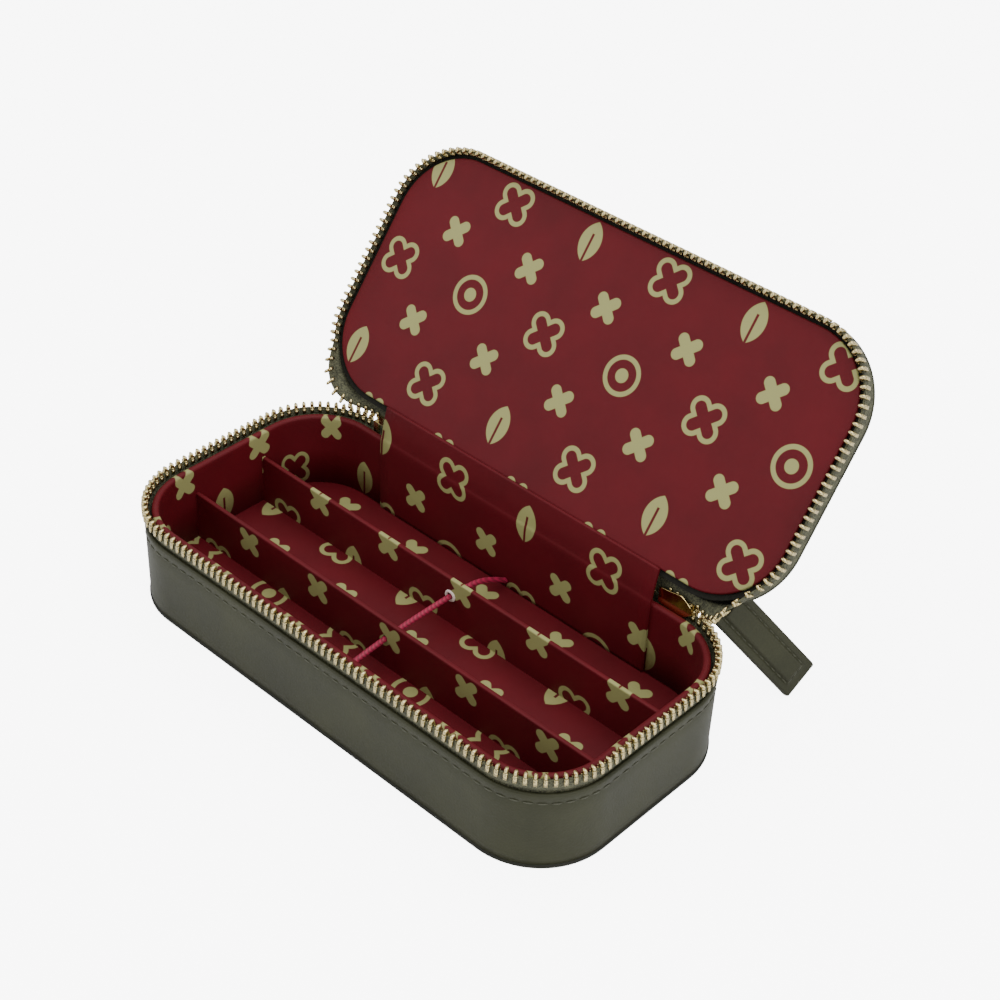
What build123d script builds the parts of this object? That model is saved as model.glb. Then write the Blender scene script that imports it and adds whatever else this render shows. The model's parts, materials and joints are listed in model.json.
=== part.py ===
from build123d import *
import os
from math import acos, cos, pi, radians, sin

# Zip-round fountain pen case with three lanes, lid standing open.
# Frame: millimetres, origin on the ground under the middle of the case body,
# X along the long side, Y towards the hinge, Z up.  The lid is drawn closed and
# then turned back about the hinge line to its open rest pose.

os.makedirs("parts", exist_ok=True)

# ---- driving dimensions: outside ---------------------------------------------
length = 180.0            # along X
width = 87.0              # along Y
corner_r = 24.5           # plan radius of the outside
close_z = 35.1            # plane where the two tooth rows meet
open_angle = 127.4
# base, from the ground up
panel_t = 1.4             # leather panel under the base
floor_board_t = 2.6
floor_t = 2.0             # covered board of the lining floor
leather_t = 1.4           # leather wall
band_inset = 0.3          # leather wall stands in from the bottom panel
band_down = 7.1           # its top edge is this far under the closing plane
core_down = 4.5           # and the top of the core board
lip_down = 2.6            # and the top of the lining lip
wall_in = 4.9             # outside to inner lining face
lining_t = 1.2
divider_y = 13.7
divider_t = 1.5
divider_h = 17.2
elastic_up = 10.8         # elastic over the floor
elastic_d = 1.8
eyelet_r, eyelet_t = 2.1, 0.5
hole_gap = 0.1            # hole for the elastic is wider by this all round
# zip
zip_inset = 0.65          # tooth plane, measured from outside
tape_t = 0.6
tape_sewn = 10.0          # tape behind the leather, below the top edge
pitch = 2.62              # tooth pitch of one row
tooth_t = 1.1             # along the row
tooth_w = 2.0             # across the tape
tooth_h = 3.65
leg_h = 1.75              # the legs' share of it
tape_gap = 0.40           # end teeth to the twisted tape over them
mesh = 0.25               # each row passes the closing plane by this much
mesh_end = -0.3           # the lid row beyond its straight run stays clear
tooth_end_h = 2.9         # and its teeth are shorter
run_angle = 25.0          # corner angle where the lid tape starts to twist
stop_t = 1.8              # along the row
stop_clamp = 0.3          # a stop is wider than a tooth by this on each side
# lid, from the closing plane up
hinge_in, hinge_up = 1.0, 5.75
lid_lining_up = 2.84
lid_lining_t = 1.16
lid_core_t = 3.3
lid_panel_t = 1.6
lid_panel_in = 0.2
# hinge strips; the ends are measured from where the rear corners start
lining_strip_end = 9.5
strip_t = 0.9
spine_left_end, spine_right_end = 8.5, 14.7
spine_foot = 14.0         # lower edge of the outer strip
spine_over = 13.0         # it reaches this far over the lid
skin = 1.0
# slider and pull
slider_past = 3.1         # mouth of the slider, past the start of the corner
slider_top = 2.4          # the outer plate is lower than the inner one
slot_gap = 0.25           # plate to tooth
inner_t, outer_t = 0.6, 0.8
bail_w, bail_h, bar_t = 5.8, 6.0, 1.4      # bail over the outer plate and its round bar
bail_back = 5.4           # middle of the bail, behind the mouth
ring_r, wire_r = 4.5, 0.7
bar_play = 0.45           # bail bar to ring wire
hole_r = 3.1              # ring hole in the strap
hole_shift = 0.15         # the wire lies near the upper rim of the hole
neck_rim = 1.2            # leather above the hole
neck_half, shoulder = 2.2, 0.8
strap_w = 13.0
strap_t = 2.8
strap_len = 38.9          # ring hole to tip
pad_top, pad_end, pad_side, pad_h = 5.0, 3.6, 3.2, 0.35

# ---- heights and places that follow from them --------------------------------
board_z = panel_t + floor_board_t
floor_z = board_z + floor_t
divider_top = floor_z + divider_h
elastic_z = floor_z + elastic_up
band_top = close_z - band_down
core_top = close_z - core_down
lip_z = close_z - lip_down
tape_foot = band_top - tape_sewn
core_in = wall_in - lining_t                   # inner face of the core board
slide_in = zip_inset + tooth_w / 2 + slot_gap + inner_t
lip_out = slide_in + 0.15                      # outer face of the lip clears the slider
lid_lining_in = slide_in + 0.1                 # and so does the lid's lining
lid_lining_z = close_z + lid_lining_up
lid_core_z = lid_lining_z + lid_lining_t
lid_panel_z = lid_core_z + lid_core_t
lid_top_z = lid_panel_z + lid_panel_t
hinge_y = width / 2 - hinge_in
hinge_z = close_z + hinge_up
bar_gap = bar_t / 2 + wire_r + bar_play        # bail bar to ring wire, middle to middle

LX, WY, CR = length / 2, width / 2, corner_r
cx, cy = LX - CR, WY - CR                      # corner centres
zr = CR - zip_inset                            # corner radius of the tooth line
slider_x = cx + slider_past
row_end_left, row_end_right = cx - 1.5, cx - 8.5        # base teeth end here
stop_base, stop_lid, stop_bottom = cx - 3.4, cx - 5.8, cx - 12.9
HX = Axis((0, hinge_y, hinge_z), (1, 0, 0))


def opened(shape, angle=open_angle):
    return shape.rotate(HX, -angle)


def save(part, name):
    part.label = name
    export_step(part, f"parts/{name}.step")


def slab(i, z0, z1, edge=0.0):
    """Rounded rectangle set in by i, from z0 to z1, edge rounded all round."""
    with BuildPart() as p:
        with BuildSketch(Plane.XY.offset(z0)):
            RectangleRounded(length - 2 * i, width - 2 * i, CR - i)
        extrude(amount=z1 - z0)
        if edge:
            fillet(p.edges().group_by(Axis.Z)[-1] + p.edges().group_by(Axis.Z)[0], edge)
    return p.part


def ring(i0, i1, z0, z1):
    """Wall between inset i0 and inset i1."""
    with BuildPart() as p:
        with BuildSketch(Plane.XY.offset(z0)):
            RectangleRounded(length - 2 * i0, width - 2 * i0, CR - i0)
            RectangleRounded(length - 2 * i1, width - 2 * i1, CR - i1, mode=Mode.SUBTRACT)
        extrude(amount=z1 - z0)
    return p.part


# ---- the tooth line: distance s from the middle of the front, + to the right --
s_front = cx
s_c1 = s_front + zr * pi / 2
s_side = s_c1 + 2 * cy
s_c2 = s_side + zr * pi / 2


def zip_frame(s):
    """Point, travel direction and outward normal of the tooth line."""
    m = 1 if s >= 0 else -1
    a = abs(s)
    if a <= s_front:
        x, y, nx, ny = a, -cy - zr, 0, -1
    elif a <= s_c1:
        t = (a - s_front) / zr
        nx, ny = sin(t), -cos(t)
        x, y = cx + zr * nx, -cy + zr * ny
    elif a <= s_side:
        x, y, nx, ny = cx + zr, -cy + (a - s_c1), 1, 0
    elif a <= s_c2:
        t = (a - s_side) / zr
        nx, ny = cos(t), sin(t)
        x, y = cx + zr * nx, cy + zr * ny
    else:
        x, y, nx, ny = cx - (a - s_c2), cy + zr, 0, 1
    x, nx = m * x, m * nx
    return (x, y), (-ny, nx), (nx, ny)


def s_at_back(x):
    """Distance along the tooth line of the back point at this x (x > 0)."""
    if x <= cx:
        return s_c2 + cx - x
    return s_side + zr * acos((x - cx) / zr)


s_rigid = s_side + zr * radians(run_angle)     # lid tape is rigid up to here
s_mouth = s_at_back(slider_x)                  # right: rows meet at the slider
s_left = s_at_back(cx - 2.3)                   # left: rows meet at the top stops


def twist(s):
    """Opening angle of the lid row at s: full on the lid, none where rows meet."""
    end = s_mouth if s > 0 else s_left
    t = min(max((end - abs(s)) / (end - s_rigid), 0), 1)
    return open_angle * t * t * (3 - 2 * t)


def at(s, z):
    (x, y), (tx, ty), _ = zip_frame(s)
    return Plane(origin=(x, y, z), x_dir=(tx, ty, 0), z_dir=(0, 0, 1)).location


# ---- one tooth: two legs over the tape edge and a head ------------------------
with BuildPart() as tooth:
    Box(tooth_t, tooth_w, tooth_h, align=(Align.CENTER, Align.CENTER, Align.MAX))
    with Locations((0, 0, -tooth_h)):
        Box(tooth_t, tape_t + 0.04, leg_h, align=(Align.CENTER, Align.CENTER, Align.MIN), mode=Mode.SUBTRACT)
tooth_up = tooth.part
tooth_down = tooth_up.rotate(Axis.X, 180)
with BuildPart() as end_tooth:
    Box(tooth_t, tooth_w, tooth_end_h, align=(Align.CENTER, Align.CENTER, Align.MIN))


def base_row(ss):
    return Compound(children=[tooth_up.moved(at(s, close_z + mesh)) for s in ss])


def lid_row(ss, solid, reach):
    return Compound(children=[opened(solid.moved(at(s, close_z - reach)), twist(s)) for s in ss])


# ---- base: leather, boards and lining ----------------------------------------
base_bottom_panel = slab(0, 0, panel_t, 0.45)

with BuildPart() as w:
    add(ring(band_inset, band_inset + leather_t, panel_t, band_top))
    fillet(w.edges().group_by(Axis.Z)[-1], 0.62)
base_outer_wall = w.part

with BuildPart() as w:
    add(ring(band_inset + leather_t, core_in, panel_t, tape_foot))
    add(ring(band_inset + leather_t + tape_t, core_in, tape_foot, core_top))
base_core_wall = w.part

base_floor_board = slab(core_in, panel_t, board_z)

with BuildPart() as w:
    add(ring(core_in, wall_in, board_z, lip_z))
    add(ring(lip_out, core_in, core_top, lip_z))
    fillet(w.edges().group_by(Axis.Z)[-1], 0.85)
base_lining_wall = w.part

base_lining_floor = slab(wall_in, board_z, floor_z)


def divider(y):
    with BuildPart() as p:
        with Locations((0, y, floor_z)):
            Box(length - 2 * wall_in, divider_t, divider_top - floor_z,
                align=(Align.CENTER, Align.CENTER, Align.MIN))
        fillet(p.edges().filter_by(Axis.X).group_by(Axis.Z)[-1], 0.5)
        add(slab(wall_in, floor_z, divider_top), mode=Mode.INTERSECT)
        with Locations(Location((0, y, elastic_z), (90, 0, 0))):
            Cylinder(elastic_d / 2 + hole_gap, divider_t * 2, mode=Mode.SUBTRACT)
    return p.part


front_divider = divider(-divider_y)
rear_divider = divider(divider_y)

with BuildPart() as e:
    with Locations(Location((0, divider_y - divider_t / 2 - eyelet_t / 2, elastic_z), (90, 0, 0))):
        Cylinder(eyelet_r, eyelet_t)
        Cylinder(elastic_d / 2 + hole_gap, 2, mode=Mode.SUBTRACT)
divider_eyelet = e.part

# elastic: tied in the front wall, through both dividers, down to the back lining
elastic_route = [(-WY + wall_in, 13.6), (-divider_y - 5.5, elastic_z), (divider_y + 4.0, elastic_z),
                 (divider_y + 15.5, 14.2), (WY - wall_in - strip_t, 8.4)]
with BuildPart() as elastic:
    with BuildLine():
        route = FilletPolyline(*[(0, y, z) for y, z in elastic_route], radius=9.0)
    with BuildSketch(Plane(origin=route @ 0, z_dir=route % 0)):
        Circle(elastic_d / 2)
    sweep()
    with BuildSketch(Plane.XY.offset(floor_z)):
        with Locations((0, -WY + wall_in - 2), (0, WY - wall_in - strip_t + 2)):
            Rectangle(8, 4)
    extrude(amount=15, mode=Mode.SUBTRACT)
elastic_cord = elastic.part

# ---- zip: tape and teeth of the base -----------------------------------------
x_left, x_right = 7.5 - cx, cx - 12.5


def tape_path(r_in, xl, xr):
    """Back left end round the left side, front and right side to the back."""
    i = r_in
    r = CR - i
    x0, y0 = LX - i, WY - i
    k = r * sin(pi / 4)
    with BuildLine() as b:
        Line((xl, y0), (-cx, y0))
        ThreePointArc((-cx, y0), (-cx - k, cy + k), (-x0, cy))
        Line((-x0, cy), (-x0, -cy))
        ThreePointArc((-x0, -cy), (-cx - k, -cy - k), (-cx, -y0))
        Line((-cx, -y0), (cx, -y0))
        ThreePointArc((cx, -y0), (cx + k, -cy - k), (x0, -cy))
        Line((x0, -cy), (x0, cy))
        ThreePointArc((x0, cy), (cx + k, cy + k), (cx, y0))
        Line((cx, y0), (xr, y0))
    return b


h = tape_t / 2
z_leg_base = close_z + mesh - tooth_h + leg_h
low = zip_inset - band_inset - leather_t       # inner face of the leather wall
with BuildPart() as t:
    with BuildLine():
        add(tape_path(zip_inset, x_left, x_right).line)
    with BuildSketch(Plane(origin=(x_left, WY - zip_inset, 0), x_dir=(0, 1, 0), z_dir=(-1, 0, 0))):
        Polygon((low - tape_t, -tape_foot), (low, -tape_foot), (low, -band_top - 0.15), (h, -core_top - 0.3),
                (h, -z_leg_base), (-h, -z_leg_base), (-h, -core_top - 0.45), (low - tape_t, -band_top - 0.3),
                align=None)
    sweep()
base_zip_tape = t.part

base_right = [k * pitch for k in range(0, 400) if k * pitch < s_at_back(row_end_right)]
base_left = [-k * pitch for k in range(1, 400) if k * pitch < s_at_back(row_end_left)]
base_zip_teeth = base_row(base_left[::-1] + base_right)

# ---- lid, drawn closed --------------------------------------------------------
lid_outer_panel = opened(slab(lid_panel_in, lid_panel_z, lid_top_z, 0.7))
lid_core_board = opened(slab(zip_inset + h, lid_core_z, lid_panel_z))
lid_lining_panel = opened(slab(lid_lining_in, lid_lining_z, lid_core_z))

z_leg = close_z - mesh + tooth_h - leg_h         # lower edge of the lid tape
ang = radians(run_angle)
with BuildPart() as t:
    with BuildLine() as b:
        r, x0 = zr, cx + zr
        k = r * sin(pi / 4)
        p_r = (cx + r * cos(ang), cy + r * sin(ang))
        p_l = (-p_r[0], p_r[1])
        m_r = (cx + r * cos(ang / 2), cy + r * sin(ang / 2))
        ThreePointArc(p_l, (-m_r[0], m_r[1]), (-x0, cy))
        Line((-x0, cy), (-x0, -cy))
        ThreePointArc((-x0, -cy), (-cx - k, -cy - k), (-cx, -cy - r))
        Line((-cx, -cy - r), (cx, -cy - r))
        ThreePointArc((cx, -cy - r), (cx + k, -cy - k), (x0, -cy))
        Line((x0, -cy), (x0, cy))
        ThreePointArc((x0, cy), m_r, p_r)
    with BuildSketch(Plane(origin=(*p_l, 0), x_dir=(-cos(ang), sin(ang), 0), z_dir=(-sin(ang), -cos(ang), 0))):
        Polygon((-h, -z_leg), (h, -z_leg), (h, -lid_panel_z), (-h, -lid_panel_z), align=None)
    sweep()
lid_zip_tape = opened(t.part)

lid_s = [(k + 0.5) * pitch for k in range(0, 400)]
s_split = s_rigid + tooth_t / 2
rigid = [s for s in lid_s if s < s_split]
lid_zip_teeth = lid_row([-s for s in rigid[::-1]] + rigid, tooth_down, mesh)
end_r = [s for s in lid_s if s_split <= s < s_at_back(row_end_right)
         and not s_at_back(cx + 3.7) < s < s_at_back(cx - 1.3)]
end_l = [-s for s in lid_s if s_split <= s < s_at_back(cx - 4.1)]
lid_teeth_end_right = lid_row(end_r, end_tooth.part, mesh_end)
lid_teeth_end_left = lid_row(end_l, end_tooth.part, mesh_end)


def turned(p, angle):
    """Closed point turned back about the hinge line."""
    a = radians(-angle)
    dy_, dz_ = p[1] - hinge_y, p[2] - hinge_z
    return Vector(p[0], hinge_y + dy_ * cos(a) - dz_ * sin(a), hinge_z + dy_ * sin(a) + dz_ * cos(a))


def web(s_end, sign):
    """Tape between the lid rim and the tooth row where the row leaves the lid."""
    first, count = s_rigid + 0.25, 14
    edges = []
    for j in range(count + 1):
        s = first + (s_end - first) * j / count
        (x, y), _, _ = zip_frame(sign * s)
        edges.append((turned((x, y, close_z - mesh_end + tooth_end_h + tape_gap), twist(sign * s)),
                      turned((x, y, lid_panel_z - 0.5), open_angle)))
    middles = [(low_edge + top) * 0.5 for low_edge, top in edges]
    sections = []
    for j, (low_edge, top) in enumerate(edges):
        rise = top - low_edge
        travel = middles[min(j + 1, count)] - middles[max(j - 1, 0)]
        along = travel - rise.normalized() * rise.normalized().dot(travel)
        sections.append((Plane(origin=low_edge, x_dir=rise, z_dir=along), rise.length))
    with BuildPart() as tape:
        for pair in zip(sections[:-1], sections[1:]):
            for plane, height in pair:
                with BuildSketch(plane):
                    Rectangle(height, tape_t - 0.04, align=(Align.MIN, Align.CENTER))
            loft(ruled=True)
    return tape.part


lid_tape_end_right = web(s_at_back(row_end_right), 1)
lid_tape_end_left = web(s_at_back(cx - 7.3), -1)

# ---- stops of the zip ---------------------------------------------------------
yz = WY - zip_inset


stop_w = tooth_w + 2 * stop_clamp
crimp_z = close_z - 1.65                        # where a stop's legs join its head


def stop(x, z0, z1, up):
    """Clamp over the tape from z0 to z1 with a solid head at the z1 end, or at z0 if not up."""
    with BuildPart() as p:
        with Locations((x, yz, (z0 + z1) / 2)):
            Box(stop_t, stop_w, z1 - z0)
            Box(stop_t + 1, tape_t + 0.02, z1 - z0 + 1, mode=Mode.SUBTRACT)
        with Locations((x, yz, z1 if up else z0)):
            Box(stop_t, stop_w, 1.6, align=(Align.CENTER, Align.CENTER, Align.MIN if up else Align.MAX))
    return p.part


zip_top_stop_base = stop(-stop_base, core_top + 0.6, crimp_z, True)
zip_top_stop_lid = stop(-stop_lid, z_leg, close_z + 2.8, False)
with BuildPart() as p:
    with Locations((stop_bottom, yz, z_leg_base + 0.05)):
        Box(2.2, stop_w, 3.4, align=(Align.CENTER, Align.CENTER, Align.MIN))
zip_bottom_stop = p.part

# ---- hinge strips, drawn with the lid open ------------------------------------


def op(y, z):
    v = turned((0, y, z), open_angle)
    return (v.Y, v.Z)


y_back = WY - band_inset
y_lid = WY - lid_panel_in
o0 = op(y_lid - 3.0, lid_top_z + 0.02)
o1 = op(y_lid - spine_over, lid_top_z + 0.02)
elbow = op(y_lid + 0.35, lid_top_z + 0.35)
spine_left, spine_right = spine_left_end - cx, cx - spine_right_end
with BuildPart() as p:
    with BuildSketch(Plane.YZ.offset(spine_left)):
        with BuildLine():
            Polyline((y_back + 0.02, spine_foot), (y_back + 0.02, close_z - 0.1), (y_back + 0.35, close_z + 1.9),
                     elbow, o0, o1)
            a1 = op(y_lid - spine_over, lid_top_z + 0.02 + skin)
            a0 = op(y_lid - 1.5, lid_top_z + 0.02 + skin)
            Polyline(o1, a1, a0, (y_back + skin + 0.35, close_z + 1.2), (y_back + skin, close_z - 0.5),
                     (y_back + skin, spine_foot), (y_back + 0.02, spine_foot))
        make_face()
    extrude(amount=spine_right - spine_left)
hinge_outer_strip = p.part

y_in = WY - wall_in
strip_half = cx - lining_strip_end
c0 = op(WY - lid_lining_in - 0.05, lid_lining_z - 0.1)
c1 = op(WY - lid_lining_in + 0.9, lid_lining_z - 0.1)
with BuildPart() as p:
    with BuildSketch(Plane.YZ.offset(-strip_half)):
        with BuildLine():
            Polyline((y_in, floor_z), (y_in, lip_z - 0.3), (y_in + 0.3, lip_z + 0.3), c0, c1,
                     (y_in - 0.6, lip_z + 0.4), (y_in - strip_t, lip_z - 1.2), (y_in - strip_t, floor_z),
                     (y_in, floor_z))
        make_face()
    extrude(amount=2 * strip_half)
hinge_lining_strip = p.part

# ---- slider with bail ---------------------------------------------------------
slot_half = tooth_w / 2 + slot_gap
y_in0, y_in1 = yz - slot_half - inner_t, yz - slot_half
y_out0, y_out1 = yz + slot_half, yz + slot_half + outer_t
shield = [(slider_x - back, z) for back, z in
          ((12.6, 2.6), (11.4, 3.0), (5.4, 3.9), (4.2, 3.8), (1.0, 1.6), (0.0, 0.5))]
with BuildPart() as p:
    for y0, y1, top in ((y_in0, y_in1, 9), (y_out0, y_out1, slider_top)):
        outline = [(x, min(z, top)) for x, z in shield] + [(x, -z) for x, z in shield[::-1]]
        with BuildSketch(Plane(origin=(0, y0, close_z), x_dir=(-1, 0, 0), z_dir=(0, 1, 0))):
            Polygon(*[(-x, z) for x, z in outline], align=None)
        extrude(amount=y1 - y0)
    with Locations((slider_x - 2.4, (y_in1 + y_out0) / 2, close_z + 0.95)):
        Box(2.0, y_out0 - y_in1 + 0.2, 0.9)
    bx, by = slider_x - bail_back, y_out1
    with Locations((bx, by, close_z)):
        Box(bail_w, bail_h, bar_t, align=(Align.CENTER, Align.MIN, Align.CENTER))
        Box(bail_w - 1.8, bail_h - bar_t, 3.0, align=(Align.CENTER, Align.MIN, Align.CENTER), mode=Mode.SUBTRACT)
    fillet(p.edges().filter_by(Axis.Z).group_by(Axis.Y)[-1], 1.6)
    fillet(p.edges().filter_by(Axis.X).group_by(Axis.Y)[-1], 0.45)
slider_body = p.part

# ---- ring and strap -----------------------------------------------------------
a_l = Vector(0.735, 0.643, -0.218).normalized()
bar = Vector(bx, by + bail_h - bar_t / 2, close_z)
w0 = bar - Vector(0, bar_gap, 0)
w1 = w0 + a_l * 2 * ring_r
s_a = Vector(0.505, 0.432, -0.747).normalized()          # down the strap
s_n = Vector(0.862, -0.304, 0.406)
s_n = (s_n - s_a * s_n.dot(s_a)).normalized()            # out of its face
s_b = s_n.cross(s_a).normalized()
tau = (s_n + Vector(0, 0, 1)).normalized()
tau = (tau - a_l * tau.dot(a_l)).normalized()
with BuildPart() as p:
    with Locations(Plane(origin=w0 + a_l * ring_r, x_dir=a_l, z_dir=a_l.cross(tau)).location):
        Torus(ring_r, wire_r)
pull_ring = p.part

strap_plane = Plane(origin=w1, x_dir=s_a, z_dir=s_n)
neck = hole_r + neck_rim


def strap_layer(z0, z1):
    """Leather layer: neck with the ring hole, then the full width to the tip."""
    with BuildPart() as p:
        with BuildSketch(strap_plane.offset(z0)):
            Polygon((-neck, neck_half), (-neck, -neck_half), (shoulder, -strap_w / 2), (strap_len, -strap_w / 2),
                    (strap_len, strap_w / 2), (shoulder, strap_w / 2), align=None)
            with Locations((hole_shift, 0)):
                Circle(hole_r, mode=Mode.SUBTRACT)
        extrude(amount=z1 - z0)
        tip = p.edges().filter_by(lambda e: abs(e.tangent_at(0).dot(s_n)) > 0.99)
        far = sorted(tip, key=lambda e: -(e.center() - w1).dot(s_a))[:2]
        fillet(far, 0.8)
    return p.part


pull_strap_front = strap_layer(0, strap_t / 2)
with BuildPart() as p:
    add(pull_strap_front)
    with BuildSketch(strap_plane.offset(strap_t / 2)):
        with Locations(((pad_top + strap_len - pad_end) / 2, 0)):
            RectangleRounded(strap_len - pad_end - pad_top, strap_w - 2 * pad_side, 0.6)
    extrude(amount=pad_h, taper=35)
pull_strap_front = p.part
pull_strap_back = strap_layer(-strap_t / 2, 0)

# ---- write every piece --------------------------------------------------------
for part_, name_ in (
    (base_bottom_panel, "base_bottom_panel"),
    (base_outer_wall, "base_outer_wall"),
    (base_core_wall, "base_core_wall"),
    (base_floor_board, "base_floor_board"),
    (base_lining_wall, "base_lining_wall"),
    (base_lining_floor, "base_lining_floor"),
    (front_divider, "front_divider"),
    (rear_divider, "rear_divider"),
    (divider_eyelet, "divider_eyelet"),
    (elastic_cord, "elastic_cord"),
    (base_zip_tape, "base_zip_tape"),
    (base_zip_teeth, "base_zip_teeth"),
    (zip_top_stop_base, "zip_top_stop_base"),
    (zip_top_stop_lid, "zip_top_stop_lid"),
    (zip_bottom_stop, "zip_bottom_stop"),
    (hinge_outer_strip, "hinge_outer_strip"),
    (hinge_lining_strip, "hinge_lining_strip"),
    (lid_outer_panel, "lid_outer_panel"),
    (lid_core_board, "lid_core_board"),
    (lid_lining_panel, "lid_lining_panel"),
    (lid_zip_tape, "lid_zip_tape"),
    (lid_zip_teeth, "lid_zip_teeth"),
    (lid_tape_end_right, "lid_tape_end_right"),
    (lid_tape_end_left, "lid_tape_end_left"),
    (lid_teeth_end_right, "lid_teeth_end_right"),
    (lid_teeth_end_left, "lid_teeth_end_left"),
    (slider_body, "slider_body"),
    (pull_ring, "pull_ring"),
    (pull_strap_front, "pull_strap_front"),
    (pull_strap_back, "pull_strap_back"),
):
    save(part_, name_)
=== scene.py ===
"""Looks of the zip-round pen case: leather shell, printed cloth lining, metal zip, strap pull."""
import json
from math import acos, cos, hypot, pi, radians, sin

import bpy
from mathutils import Matrix, Vector


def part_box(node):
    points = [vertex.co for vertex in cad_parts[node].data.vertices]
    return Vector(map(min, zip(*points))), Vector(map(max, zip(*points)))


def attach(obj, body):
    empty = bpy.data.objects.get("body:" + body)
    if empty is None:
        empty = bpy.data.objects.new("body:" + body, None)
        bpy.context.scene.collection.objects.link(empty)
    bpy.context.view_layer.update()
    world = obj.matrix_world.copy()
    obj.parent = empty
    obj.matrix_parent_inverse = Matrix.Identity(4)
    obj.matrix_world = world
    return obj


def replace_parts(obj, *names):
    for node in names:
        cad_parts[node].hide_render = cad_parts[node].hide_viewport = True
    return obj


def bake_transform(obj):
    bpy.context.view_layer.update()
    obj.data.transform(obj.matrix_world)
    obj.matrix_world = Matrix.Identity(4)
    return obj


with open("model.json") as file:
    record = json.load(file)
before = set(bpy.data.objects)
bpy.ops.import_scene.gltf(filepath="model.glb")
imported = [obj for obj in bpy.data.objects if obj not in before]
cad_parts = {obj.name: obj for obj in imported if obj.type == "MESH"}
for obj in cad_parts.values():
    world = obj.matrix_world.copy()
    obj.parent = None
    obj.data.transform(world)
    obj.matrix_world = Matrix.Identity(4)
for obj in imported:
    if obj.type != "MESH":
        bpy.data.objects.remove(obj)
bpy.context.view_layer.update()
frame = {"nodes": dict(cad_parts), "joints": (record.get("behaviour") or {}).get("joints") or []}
nodes = frame["nodes"]
mm = 0.001

# ---------------------------------------------------------------------------
# Leather wall of the base: a strip of olive calf bent round the case, its top
# edge folded over and stitched down just under the zip.  The sizes of the
# whole outline are taken here, from the wall and the panel under it.
panel_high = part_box("base_bottom_panel")[1]
half_l, half_w = panel_high[0], panel_high[1]
corner = 24.5 * mm
straight_x, straight_y = half_l - corner, half_w - corner
girth = 2 * (2 * straight_x + 2 * straight_y + corner * pi)
wall_low, wall_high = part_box("base_outer_wall")
w_in = half_l - wall_high[0]
leather = 1.4 * mm
upward = Vector((0, 0, 1))


def rounded_point(s, run, r):
    """Point and outward normal, r out from the corner centres.

    s is counted at radius run, from the middle of the front, + to the right.
    """
    side = 1 if s >= 0 else -1
    a, turn = abs(s), run * pi / 2
    side_end = straight_x + turn + 2 * straight_y
    if a <= straight_x:
        x, y, nx, ny = a, -straight_y - r, 0.0, -1.0
    elif a <= straight_x + turn:
        t = (a - straight_x) / run
        nx, ny = sin(t), -cos(t)
        x, y = straight_x + r * nx, -straight_y + r * ny
    elif a <= side_end:
        x, y, nx, ny = straight_x + r, -straight_y + (a - straight_x - turn), 1.0, 0.0
    elif a <= side_end + turn:
        t = (a - side_end) / run
        nx, ny = cos(t), sin(t)
        x, y = straight_x + r * nx, straight_y + r * ny
    else:
        x, y, nx, ny = straight_x - (a - side_end - turn), straight_y + r, 0.0, 1.0
    return Vector((side * x, y, 0)), Vector((side * nx, ny, 0))


def outline_point(s, inset=0.0):
    """Point and outward normal of the case's outline, moved in by inset."""
    return rounded_point(s, corner, corner - inset)


def stations(step):
    """Distances along the closed outline, in equal steps on each straight and each corner."""
    turn = corner * pi / 2
    marks = [0, straight_x, straight_x + turn, straight_x + turn + 2 * straight_y,
             straight_x + 2 * turn + 2 * straight_y, girth / 2]
    marks = sorted({m * k for m in marks for k in (-1, 1)})
    out = []
    for a, b in zip(marks[:-1], marks[1:]):
        n = max(1, round((b - a) / step))
        out += [a + (b - a) * k / n for k in range(n)]
    return out


def new_object(name, data):
    obj = bpy.data.objects.new(name, data)
    bpy.context.collection.objects.link(obj)
    return obj


def evaluated(obj):
    """New mesh of the object with its modifiers applied."""
    return bpy.data.meshes.new_from_object(obj.evaluated_get(bpy.context.evaluated_depsgraph_get()))


def dress(material, *names):
    """Gives the frame's own pieces their material."""
    for name in names:
        nodes[name].data.materials.clear()
        nodes[name].data.materials.append(material)


def mesh_object(name, points, faces, uv=None, smooth=True):
    """New object with its place in its mesh; uv holds one pair per point."""
    mesh = bpy.data.meshes.new(name)
    mesh.from_pydata([tuple(p) for p in points], [], faces)
    if uv:
        layer = mesh.uv_layers.new(name="pattern")
        for loop in mesh.loops:
            layer.data[loop.index].uv = uv[loop.vertex_index]
    mesh.polygons.foreach_set("use_smooth", [smooth] * len(mesh.polygons))
    return new_object(name, mesh)


def ring_sweep(name, profile, step=2.0 * mm, place=None):
    """Closed band round the outline; profile is a closed list of (inset, height)."""
    ss = stations(step)
    n, m = len(profile), len(ss)
    points, uv = [], []
    for s in ss:
        for inset, z in profile:
            p, _ = outline_point(s, inset)
            p.z = z
            points.append(place(p) if place else p)
            uv.append((s, z))
    faces = []
    for i in range(m):
        for j in range(n):
            a, b = i * n + j, i * n + (j + 1) % n
            c, d = ((i + 1) % m) * n + (j + 1) % n, ((i + 1) % m) * n + j
            faces.append((a, d, c, b))
    return mesh_object(name, points, faces, uv)


def feed(tree, node, values):
    """Fills inputs by name or number, each with a value or with another node's output."""
    for socket, value in values.items():
        if isinstance(value, bpy.types.NodeSocket):
            tree.links.new(value, node.inputs[socket])
        else:
            node.inputs[socket].default_value = value
    return node


def add(tree, kind, values, **settings):
    """New node with its own settings and its inputs."""
    node = tree.nodes.new(kind if "Node" in kind else "ShaderNode" + kind)
    for key, value in settings.items():
        setattr(node, key, value)
    return feed(tree, node, values)


def texture(tree, kind, values, **settings):
    """Texture laid out in the object's own frame."""
    where = add(tree, "TexCoord", {}).outputs["Object"]
    return add(tree, kind, {"Vector": where, **values}, **settings)


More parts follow.
